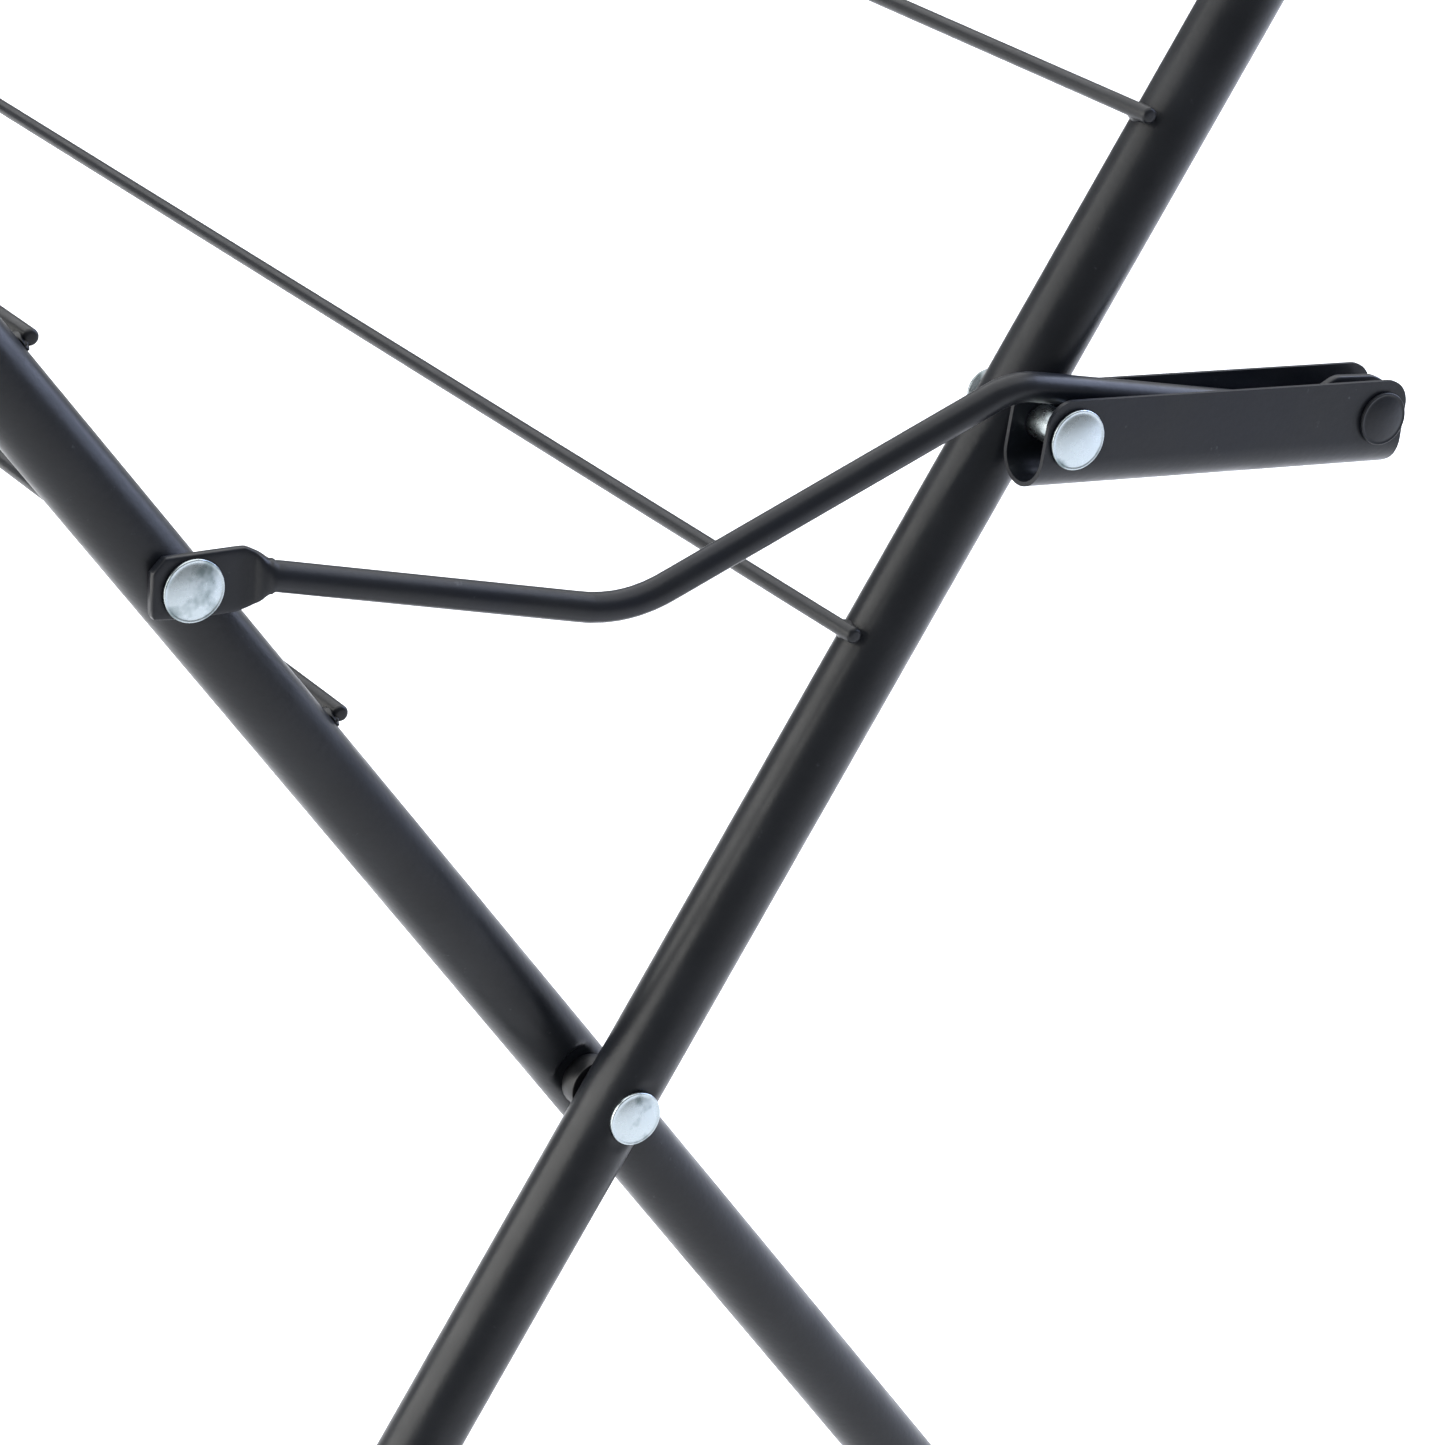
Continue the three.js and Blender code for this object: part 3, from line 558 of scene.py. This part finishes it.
def weld_beads(node, kind):
    """The two welds of a wire: an egg of three half lengths, its radius swelling by
    1 + 0.09 sin(5 a) sin(3 b), sunk between wire and tube."""
    facts = frame_facts(kind)
    wire = middle(node)
    centre = wire - facts["facing"] * BEAD_SUNK
    a = np.linspace(0, 2 * math.pi, 32, endpoint=False)[None, :, None]
    b = np.linspace(0.02, math.pi - 0.02, 20)[:, None, None]
    along = np.array([facts["arm"][0], 0, facts["arm"][1]])
    out = np.array([facts["facing"][0], 0, facts["facing"][1]])
    swell = 1 + 0.09 * np.sin(5 * a) * np.sin(3 * b)
    length = bpy.context.scene.rack_sizes.bead / 2
    shape = swell * (np.cos(b) * length * np.array([0, 1, 0])
                     + np.sin(b) * np.cos(a) * BEAD_HALF_WIDTH * along
                     + np.sin(b) * np.sin(a) * BEAD_HALF_HEIGHT * out)
    for end, side in ENDS.items():
        place = np.array([centre[0], side * (facts["leg"] - BEAD_INBOARD), centre[1]])
        surface(f"weld_{node}_{end}", place + shape, f"{kind}_frame", "frame_paint")


class RACK_OT_wires(bpy.types.Operator):
    """Draws the six straight wires and the weld beads at their ends"""
    bl_idname = "rack.wires"
    bl_label = "Wires"

    def execute(self, context):
        for kind in ("outer", "inner"):
            for number in (1, 2, 3):
                straight_wire(f"{kind}_wire_{number}", kind)
                weld_beads(f"{kind}_wire_{number}", kind)
        return {"FINISHED"}


def foot_cap(kind, end):
    """A cap round the leg's end: circles about the leg's axis, from a level sole to a rolled
    lip. Below the middle each point's height on the axis blends from the floor's cut, which
    is radius * cos(a) * tan(lean), to the same height all round."""
    facts = frame_facts(kind)
    arm, radius = facts["arm"], facts["radius"]
    full = radius + TOUCH + FOOT_WALL
    across = np.array([arm[1], 0, -arm[0]])
    axis = np.array([arm[0], 0, arm[1]])
    angle = np.linspace(0, 2 * math.pi, TUBE_SIDES, endpoint=False)
    quarter = np.linspace(0, math.pi / 2, 6)
    low = np.linspace(0, 1, 8)[1:]
    blend = np.concatenate([[0, 0], 0.06 * (1 - np.cos(quarter)), 0.06 + 0.94 * low])
    draw_in = np.concatenate([[full, full * 0.5], SOLE_EDGE * (1 - np.sin(quarter)), 0 * low])
    top = np.linspace(0, 1, 60)
    grooves = GRIP_DEPTH * sum(np.exp(-((top - g) / GRIP_WIDTH) ** 2) for g in GRIP_PLACES)
    lip = np.linspace(0, math.pi, 9)[1:]
    size = np.concatenate([full - 0.02 * MM - draw_in, full - grooves,
                           full - FOOT_WALL / 2 * (1 - np.cos(lip)), [radius - 1.0 * MM]])
    size = np.maximum(size, TIP_RADIUS)[:, None]
    drop = across[2] / axis[2] * np.cos(angle)[None, :] * size
    floor = -facts["floor"] - drop
    level = -facts["floor"] + full * abs(across[2] / axis[2]) + 1.5 * MM
    crown = -facts["floor"] + FOOT_LENGTH - FOOT_WALL / 2
    height = np.concatenate([
        floor[:len(blend)] * (1 - blend[:, None]) + level * blend[:, None],
        np.broadcast_to((level + (crown - level) * top)[:, None],
                        (len(top), TUBE_SIDES)),
        np.broadcast_to((crown + FOOT_WALL / 2 * np.sin(lip))[:, None],
                        (len(lip), TUBE_SIDES)),
        np.full((1, TUBE_SIDES), crown - 0.5 * MM)])
    ring = size[..., None] * (np.cos(angle)[:, None] * across + np.sin(angle)[:, None] * [0, 1, 0])
    side = ENDS[end]
    origin = np.array([PIVOT[0], side * facts["leg"], PIVOT[1]])
    points = origin + ring + height[..., None] * axis
    points[..., 2] = np.maximum(points[..., 2], 0)
    node = f"{kind}_foot_{end}"
    surface(f"moulded_{node}", points, f"{kind}_frame", "foot_plastic", [node])


class RACK_OT_feet(bpy.types.Operator):
    """Moulds the four foot caps with their level soles and grip rings"""
    bl_idname = "rack.feet"
    bl_label = "Feet"

    def execute(self, context):
        for kind in ("outer", "inner"):
            for end in ENDS:
                foot_cap(kind, end)
        return {"FINISHED"}


# ---- Rivets, spacers and washers ----------------------------------------------------


def extent(node, side):
    """Outward distances to a node's inner and outer faces, and its radius."""
    low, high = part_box(node)
    ends = sorted((low[1] * side, high[1] * side))
    return ends[0], ends[1], (high[0] - low[0]) / 2


def head_profile(seat, radius):
    """From under the head to its middle: an upright rim, a fine groove and a shallow dome,
    which rises as 1 - (r / edge) ^ 2."""
    rim = np.array([[SHANK_RADIUS, 0], [radius - 0.2 * MM, 0], [radius - 0.06 * MM, 0.05 * MM],
                    [radius, 0.2 * MM], [radius, 0.62 * MM], [radius - 0.06 * MM, 0.8 * MM],
                    [radius - 0.22 * MM, 0.9 * MM], [radius - 0.45 * MM, 0.9 * MM],
                    [radius - 0.66 * MM, 0.8 * MM]])
    edge = radius - 0.85 * MM
    r = np.linspace(edge, POINT_RADIUS, 14)
    dome = 0.8 * MM + DOME_RISE * (1 - (r / edge) ** 2)
    return (np.concatenate([rim[:, 0], r]), seat + np.concatenate([rim[:, 1], dome]))


def tail_profile(bottom, height):
    """From the middle of a spread tail out to its shank; a height of 0 leaves the shank cut."""
    if height == 0:
        return np.array([POINT_RADIUS, SHANK_RADIUS]), np.array([bottom, bottom])
    turn = np.linspace(0, math.pi / 2, 6)
    rounded = TAIL_RADIUS - TAIL_ROUND * (1 - np.sin(turn))
    r = np.concatenate([[POINT_RADIUS], rounded, [TAIL_RADIUS, SHANK_RADIUS]])
    out = np.concatenate([[0], 0.9 * height * (1 - np.cos(turn)), [height, height]])
    return r, bottom + out


def rivet(node, body, slot, tail, headed=True):
    side = ENDS[node.rsplit("_", 1)[1]]
    inner, outer, radius = extent(node, side)
    r, out = tail_profile(inner, tail)
    if headed:
        head_r, head_out = head_profile(outer - HEAD_HEIGHT, radius)
    else:
        head_r = np.array([SHANK_RADIUS, POINT_RADIUS])
        head_out = np.array([outer, outer])
    radii, outward = np.concatenate([r, head_r]), np.concatenate([out, head_out])
    points = turned(middle(node), side, radii, outward)
    surface(f"set_{node}", points, body, slot, [node])


class RACK_OT_rivets(bpy.types.Operator):
    """Sets the rivets of the pivots, the links and the stays"""
    bl_idname = "rack.rivets"
    bl_label = "Rivets"

    def execute(self, context):
        for end in ENDS:
            rivet(f"pivot_rivet_{end}", "outer_frame", "zinc_plate", TAIL_HEIGHT)
            rivet(f"link_rivet_{end}", "outer_frame", "zinc_plate", TAIL_HEIGHT)
            rivet(f"joint_rivet_{end}", f"lock_link_{end}", "lock_paint", FLUSH_TAIL_HEIGHT)
            rivet(f"stay_rivet_head_{end}", f"stay_{end}", "zinc_plate", 0)
            rivet(f"stay_rivet_tail_{end}", "inner_frame", "zinc_plate", TAIL_HEIGHT, False)
        return {"FINISHED"}


def ring(node, body, slot, deeper=0.0):
    """A turned ring with broken edges; deeper lets it reach a recess further in."""
    side = ENDS[node.rsplit("_", 1)[1]]
    inner, outer, radius = extent(node, side)
    inner -= deeper
    bore, edge = SHANK_RADIUS + 0.1 * MM, 0.25 * MM
    turn = np.linspace(0, math.pi / 2, 4)
    up_r = radius - edge + edge * np.sin(turn)
    up_out = inner + edge * (1 - np.cos(turn))
    down_out = outer - edge * (1 - np.cos(turn[::-1]))
    r = np.concatenate([[bore], up_r, up_r[::-1], [bore, bore]])
    out = np.concatenate([[inner], up_out, down_out, [outer, inner]])
    points = turned(middle(node), side, r, out, RING_SIDES)
    ring_piece(f"turned_{node}", points, body, slot, node)


def ring_piece(name, points, body, slot, node):
    """A grid that closes both ways, its last row lying on its first, so it needs no caps."""
    rows, columns = points.shape[0] - 1, points.shape[1]
    index = np.arange(rows * columns).reshape(rows, columns)
    wrapped = np.pad(index, ((0, 1), (0, 1)), mode="wrap")
    quads = np.stack([wrapped[:-1, :-1], wrapped[:-1, 1:], wrapped[1:, 1:], wrapped[1:, :-1]], -1)
    mesh = bpy.data.meshes.new(name)
    mesh.from_pydata(points[:-1].reshape(-1, 3).tolist(), [], quads.reshape(-1, 4).tolist())
    mesh.update()
    face_outwards(mesh)
    mesh.shade_smooth()
    finish_piece(name, mesh, body, slot, [node])


class RACK_OT_rings(bpy.types.Operator):
    """Turns the pivot spacers, the link washers and the sleeves between the link's walls"""
    bl_idname = "rack.rings"
    bl_label = "Spacers and Sleeves"

    def execute(self, context):
        for end in ENDS:
            ring(f"pivot_spacer_{end}", "inner_frame", "washer_plastic",
                 RECESS_DEPTH - DIMPLE_DEPTH)
            ring(f"link_washer_{end}", "outer_frame", "washer_plastic")
            ring(f"link_sleeve_{end}", f"lock_link_{end}", "zinc_plate")
        return {"FINISHED"}


# ---- Lock: links and stays ----------------------------------------------------------


def channel_link(end):
    """A U of sheet: across it, two straight walls and a half circle under them; along it,
    from heel to toe, whose places at a height h follow the rounded corners:
    corner - sqrt(corner ^ 2 - (h - start of the corner) ^ 2) is cut off there."""
    sizes = bpy.context.scene.rack_sizes
    side = ENDS[end]
    width = sizes.link_width / 2
    along = unit(STAY_JOINT - LINK_PIVOT)
    up = np.array([-along[1], along[0]])
    centres = np.linalg.norm(STAY_JOINT - LINK_PIVOT)
    springing = width - LINK_BELOW
    sweep = np.linspace(0, math.pi / 2, 14)
    corner = LINK_ABOVE - LINK_CORNER * (1 - np.sin(sweep[::-1]))
    wall = np.linspace(LINK_ABOVE - LINK_CORNER, springing, 14)[1:-1]
    down = np.concatenate([corner, wall])
    bottom = np.linspace(math.pi, 2 * math.pi, 40)
    height = np.concatenate([down, springing + width * np.sin(bottom), down[::-1]])
    across = np.concatenate([np.full(len(down), -width), width * np.cos(bottom),
                             np.full(len(down), width)])
    over = np.clip(height - (LINK_ABOVE - LINK_CORNER), 0, LINK_CORNER)
    cut = LINK_CORNER - np.sqrt(LINK_CORNER ** 2 - over ** 2)
    under = np.clip(LINK_TOE_CORNER - LINK_BELOW - height, 0, LINK_TOE_CORNER)
    toe_cut = LINK_TOE_CORNER - np.sqrt(LINK_TOE_CORNER ** 2 - under ** 2)
    slant = LINK_SLANT * (height + LINK_BELOW) / (LINK_ABOVE + LINK_BELOW)
    heel = -LINK_HEEL + slant + cut
    toe = centres + LINK_TOE - cut - toe_cut
    share = np.concatenate([np.linspace(0, 0.1, 8), np.linspace(0.1, 0.9, 30)[1:-1],
                            np.linspace(0.9, 1, 8)])[:, None]
    reach = heel + (toe - heel) * share
    low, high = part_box(f"lock_link_{end}")
    y = (low[1] + high[1]) / 2 + side * across + 0 * reach
    x = LINK_PIVOT[0] + along[0] * reach + up[0] * height
    z = LINK_PIVOT[1] + along[1] * reach + up[1] * height
    points = np.stack([x, y, z], -1)
    if side < 0:
        points = points[:, ::-1]
    piece = surface(f"pressed_lock_link_{end}", points, f"lock_link_{end}", "lock_paint",
                    [f"lock_link_{end}"], sheet=True)
    wall_of(piece, sizes.link_wall)


def wall_of(piece, thickness):
    """Gives a sheet its wall inwards, and breaks the cut edges."""
    solid = piece.modifiers.new("Sheet", "SOLIDIFY")
    solid.thickness = thickness
    solid.offset = -1
    solid.use_even_offset = True
    edge = piece.modifiers.new("Broken edges", "BEVEL")
    edge.width = 0.22 * MM
    edge.segments = 2
    edge.limit_method = "ANGLE"
    edge.angle_limit = math.radians(40)
    edge.harden_normals = True


class RACK_OT_links(bpy.types.Operator):
    """Presses the two channel links of the locks"""
    bl_idname = "rack.links"
    bl_label = "Lock Links"

    def execute(self, context):
        for end in ENDS:
            channel_link(end)
        return {"FINISHED"}


def stay_line(side):
    """The stay's middle line, from the cut end at the inner frame to past its joint."""
    sizes = bpy.context.scene.rack_sizes
    lug = np.array([math.cos(LUG_TILT), -math.sin(LUG_TILT)])
    rise = np.array([-lug[1], lug[0]]) * LUG_RISE
    along = unit(STAY_JOINT - STAY_PIVOT)
    below = np.array([along[1], -along[0]])
    eye = np.array([math.cos(EYE_TILT), -math.sin(EYE_TILT)])
    low = STAY_PIVOT + along * LOW_BEND_ALONG + below * LOW_BEND_BELOW
    rest_height = SLEEVE_RADIUS + sizes.stay / 2 + REST_BEND_RISE
    rest = LINK_PIVOT + np.array([-REST_BEND_BACK, rest_height])
    leg = frame_facts("outer")["leg"]
    seat = extent("stay_rivet_head_" + ("front" if side < 0 else "back"), side)[1]
    lug_y = seat - HEAD_HEIGHT - TOUCH - sizes.lug / 2
    bar_y = lug_y + (sizes.stay - sizes.lug) / 2
    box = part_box("lock_link_front")
    link_y = -(box[0][1] + box[1][1]) / 2

    def at(place, y):
        return place[0], side * y, place[1]
    corners = [
        at(STAY_PIVOT + rise - lug * LUG_END, lug_y),
        at(STAY_PIVOT + rise + lug * LUG_REACH, lug_y),
        at(STAY_PIVOT + rise + lug * LUG_NECK, bar_y),
        at(low, leg + LOW_BEND_OUT),
        at(rest, link_y - REST_BEND_IN),
        at(STAY_JOINT - eye * EYE_NECK, link_y),
        at(STAY_JOINT + eye * EYE_RADIUS, link_y),
    ]
    return bent_line(corners, STAY_BENDS)


def bent_stay(end):
    """A rod with forged ends: sections |w / a| ^ n + |y / b| ^ n = 1 square to the middle
    line, where a and b are half the width and half the thickness. n goes from 2 on the round
    rod to 7 on the flat ends. The far end is an eye: a widens from the rod's to the eye's
    radius between 20 and 9 mm before the joint, and past the joint it is
    sqrt(radius ^ 2 - distance ^ 2). Everything is worked out in mm and scaled at the end."""
    sizes = bpy.context.scene.rack_sizes
    side = ENDS[end]
    line = stay_line(side)
    distance, marks = stations(line, 4 * MM, 0.5 * MM, [16 * MM], 19 * MM)
    total = distance[-1]
    tail = total - EYE_RUN + EYE_RUN * np.sin(np.linspace(0, math.pi / 2, 90))
    marks = np.concatenate([marks[marks < total - EYE_RUN - 1e-5], tail])
    centres, along = on_line(line, distance, marks)
    rod = sizes.stay / 2
    s = marks / MM
    eye = (marks - (total - EYE_RADIUS)) / MM
    # The flat end at the inner frame, wider at its rivet, with cut-off corners.
    flat = 1 - smoothstep(s, FLAT_FROM, FLAT_TO)
    shoulder = np.clip((s - 19.5) / 10, 0, 1) ** 2
    width = 7.2 + 1.1 * np.sin(np.clip(s / 14, 0, 1) * math.pi / 2)
    width = width * (1 - shoulder) + 4.3 * shoulder
    width = np.where(s < FLAT_TO, width, rod / MM)
    upper = np.minimum(width, np.interp(s, [0, 3.0], [4.4, 7.6]))
    lower = np.minimum(width, np.interp(s, [0, 0.9], [6.3, 8.2]))
    # Two crimp marks where the round rod starts.
    crimps = CRIMP_DEPTH * sum(np.exp(-((s - c) / CRIMP_WIDTH) ** 2) for c in CRIMP_PLACES)
    thick = sizes.lug / MM / 2 * flat + rod / MM * (1 - flat) - crimps
    # The eye in the link.
    past = np.maximum(eye, 0)
    ring_width = np.sqrt(np.maximum((EYE_RADIUS / MM) ** 2 - past ** 2, 0.0025))
    in_eye = smoothstep(eye, -22, -14)
    widening = smoothstep(eye, -20, -9)
    width_end = rod / MM * (1 - widening) + ring_width * widening
    upper = np.where(s > LUG_ONLY, width_end, upper)
    lower = np.where(s > LUG_ONLY, width_end, lower)
    thick = thick * (1 - in_eye) + sizes.lug / MM / 2 * in_eye
    power = 2 + 5 * np.maximum(flat, in_eye)
    angle = np.linspace(0, 2 * math.pi, STAY_SIDES, endpoint=False)[None]
    n = 2 / power[:, None]
    across = np.sign(np.sin(angle)) * np.abs(np.sin(angle)) ** n
    out = np.sign(np.cos(angle)) * np.abs(np.cos(angle)) ** n * thick[:, None]
    across = np.where(across > 0, across * upper[:, None], across * lower[:, None])
    upright = np.stack([-along[:, 2], 0 * along[:, 0], along[:, 0]], -1)
    upright /= np.linalg.norm(upright, axis=1, keepdims=True)
    outward = np.cross(along, upright)
    outward *= np.sign(outward[:, 1:2]) * side
    points = centres[:, None] + MM * (across[..., None] * upright[:, None]
                                      + out[..., None] * outward[:, None])
    surface(f"forged_stay_{end}", points, f"stay_{end}", "lock_paint", [f"stay_{end}"])


class RACK_OT_stays(bpy.types.Operator):
    """Bends the two stays, with a flat lug at one end and an eye at the other"""
    bl_idname = "rack.stays"
    bl_label = "Stays"

    def execute(self, context):
        for end in ENDS:
            bent_stay(end)
        return {"FINISHED"}


# ---- Stage --------------------------------------------------------------------------


def area_light(name, place, aim, size, power, colour):
    data = bpy.data.lights.new(name, "AREA")
    data.shape = "RECTANGLE"
    data.size, data.size_y = size
    data.energy = power
    data.color = linear(colour)[:3]
    lamp = bpy.data.objects.new(name, data)
    lamp.location = place
    lamp.rotation_euler = (Vector(aim) - Vector(place)).to_track_quat("-Z", "Y").to_euler()
    bpy.context.scene.collection.objects.link(lamp)


class RACK_OT_stage(bpy.types.Operator):
    """Lays the floor, hangs the soft lights and sets up the camera"""
    bl_idname = "rack.stage"
    bl_label = "Stage"

    def execute(self, context):
        half = FLOOR_HALF
        mesh = bpy.data.meshes.new("studio_floor")
        corners = [(-half, -half, 0), (half, -half, 0), (half, half, 0), (-half, half, 0)]
        mesh.from_pydata(corners, [], [(0, 1, 2, 3)])
        mesh.materials.append(finish_for("floor"))
        floor = bpy.data.objects.new("studio_floor", mesh)
        floor.location.z = -FLOOR_DROP
        context.scene.collection.objects.link(floor)

        world = bpy.data.worlds.new("Studio")
        world.use_nodes = True
        background = world.node_tree.nodes["Background"]
        background.inputs["Color"].default_value = linear(WORLD_COLOUR)
        background.inputs["Strength"].default_value = WORLD_STRENGTH
        context.scene.world = world
        for light in LIGHTS:
            area_light(*light)

        data = bpy.data.cameras.new("Camera")
        data.sensor_width = 36
        data.lens = CAMERA_LENS
        data.clip_start, data.clip_end = 0.05, 200
        camera = bpy.data.objects.new("Camera", data)
        leg = frame_facts("outer")["leg"]
        near_pivot = Vector((PIVOT[0], -leg, PIVOT[1]))
        camera.location = near_pivot + Vector(CAMERA_FROM_PIVOT)
        camera.rotation_euler = Vector(CAMERA_LOOKS).to_track_quat("-Z", "Y").to_euler()
        context.scene.collection.objects.link(camera)
        context.scene.camera = camera
        context.scene.view_settings.view_transform = "Standard"
        return {"FINISHED"}


# ---- Panel and registration ---------------------------------------------------------

OPERATORS = (
    RACK_OT_frame_tubes, RACK_OT_wires, RACK_OT_feet, RACK_OT_rivets, RACK_OT_rings,
    RACK_OT_links, RACK_OT_stays, RACK_OT_stage,
)


class RACK_PT_drying_rack(bpy.types.Panel):
    """Lists the rack's pieces, sizes and colours"""
    bl_idname = "RACK_PT_drying_rack"
    bl_label = "Drying Rack"
    bl_space_type = "VIEW_3D"
    bl_region_type = "UI"
    bl_category = "Drying Rack"

    def draw(self, context):
        for operator in OPERATORS:
            self.layout.operator(operator.bl_idname)
        for group in (context.scene.rack_sizes, context.scene.rack_colours):
            column = self.layout.column()
            for name in group.__annotations__:
                column.prop(group, name)


CLASSES = (RackSizes, RackColours) + OPERATORS + (RACK_PT_drying_rack,)


def register():
    for item in CLASSES:
        bpy.utils.register_class(item)
    bpy.types.Scene.rack_sizes = bpy.props.PointerProperty(type=RackSizes)
    bpy.types.Scene.rack_colours = bpy.props.PointerProperty(type=RackColours)


def unregister():
    del bpy.types.Scene.rack_colours
    del bpy.types.Scene.rack_sizes
    for item in reversed(CLASSES):
        bpy.utils.unregister_class(item)


def main():
    register()
    for operator in OPERATORS:
        group, name = operator.bl_idname.split(".")
        getattr(getattr(bpy.ops, group), name)()


if __name__ == "__main__":
    main()
